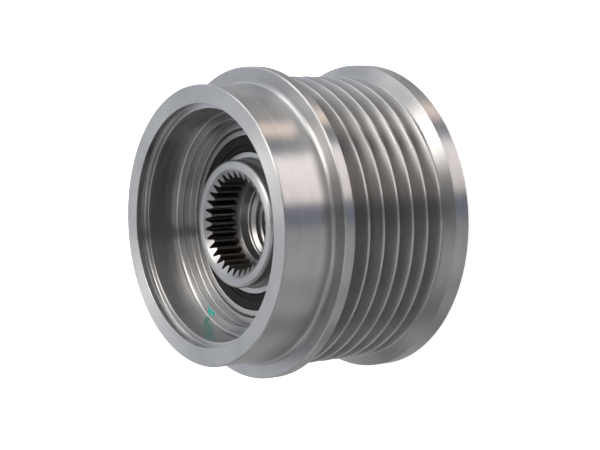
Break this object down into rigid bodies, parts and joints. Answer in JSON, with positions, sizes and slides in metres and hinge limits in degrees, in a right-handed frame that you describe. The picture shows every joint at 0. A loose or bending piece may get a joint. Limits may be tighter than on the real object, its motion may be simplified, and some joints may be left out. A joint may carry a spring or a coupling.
{
  "type": "alternator pulley",
  "caption": "Overrunning alternator pulley: grooved steel belt wheel on a hub with a roller clutch, two sealed ball bearings, an inner thread and a toothed socket.",
  "frame": {"origin": "on the pulley's axis, in the plane of the hub's rear face, which it stands on", "axes": "+Z along the axis, from the alternator side towards the open front mouth"},
  "size_m": [0.0612, 0.0612, 0.042],
  "materials": {
    "pulley_steel": "turned, satin",
    "hub_steel": "turned, satin",
    "bearing_steel": "ground",
    "spring_steel": "rolled strip",
    "cage_plastic": "moulded",
    "seal_rubber": "moulded, matt"
  },
  "bodies": {
    "hub": {"hub_sleeve": "hub_steel", "front_bearing_inner_ring": "bearing_steel", "rear_bearing_inner_ring": "bearing_steel", "clutch_cam_ring": "bearing_steel", "clutch_rollers": "bearing_steel", "clutch_roller_cage": "cage_plastic", "clutch_springs": "spring_steel", "clutch_rear_washer": "bearing_steel", "clutch_front_washer": "bearing_steel"},
    "pulley": {"pulley_body": "pulley_steel", "front_bearing_outer_ring": "bearing_steel", "rear_bearing_outer_ring": "bearing_steel", "front_outer_seal": "seal_rubber", "front_inner_seal": "seal_rubber", "rear_outer_seal": "seal_rubber", "rear_inner_seal": "seal_rubber", "clutch_outer_ring": "bearing_steel"},
    "front_ball_set": {"front_bearing_balls": "bearing_steel", "front_ball_cage": "cage_plastic"},
    "rear_ball_set": {"rear_bearing_balls": "bearing_steel", "rear_ball_cage": "cage_plastic"}
  },
  "joints": [
    {"name": "pulley_spin", "type": "hinge", "parent": "hub", "child": "pulley", "pos_m": [0, 0, 0.0215], "axis": [0, 0, 1], "continuous": true},
    {"name": "front_ball_set_spin", "type": "hinge", "parent": "hub", "child": "front_ball_set", "pos_m": [0, 0, 0.02705], "axis": [0, 0, 1], "continuous": true},
    {"name": "rear_ball_set_spin", "type": "hinge", "parent": "hub", "child": "rear_ball_set", "pos_m": [0, 0, 0.005], "axis": [0, 0, 1], "continuous": true}
  ],
  "couplings": [
    {"joint": "front_ball_set_spin", "follows": "pulley_spin", "ratio": 0.55645},
    {"joint": "rear_ball_set_spin", "follows": "pulley_spin", "ratio": 0.55645}
  ]
}
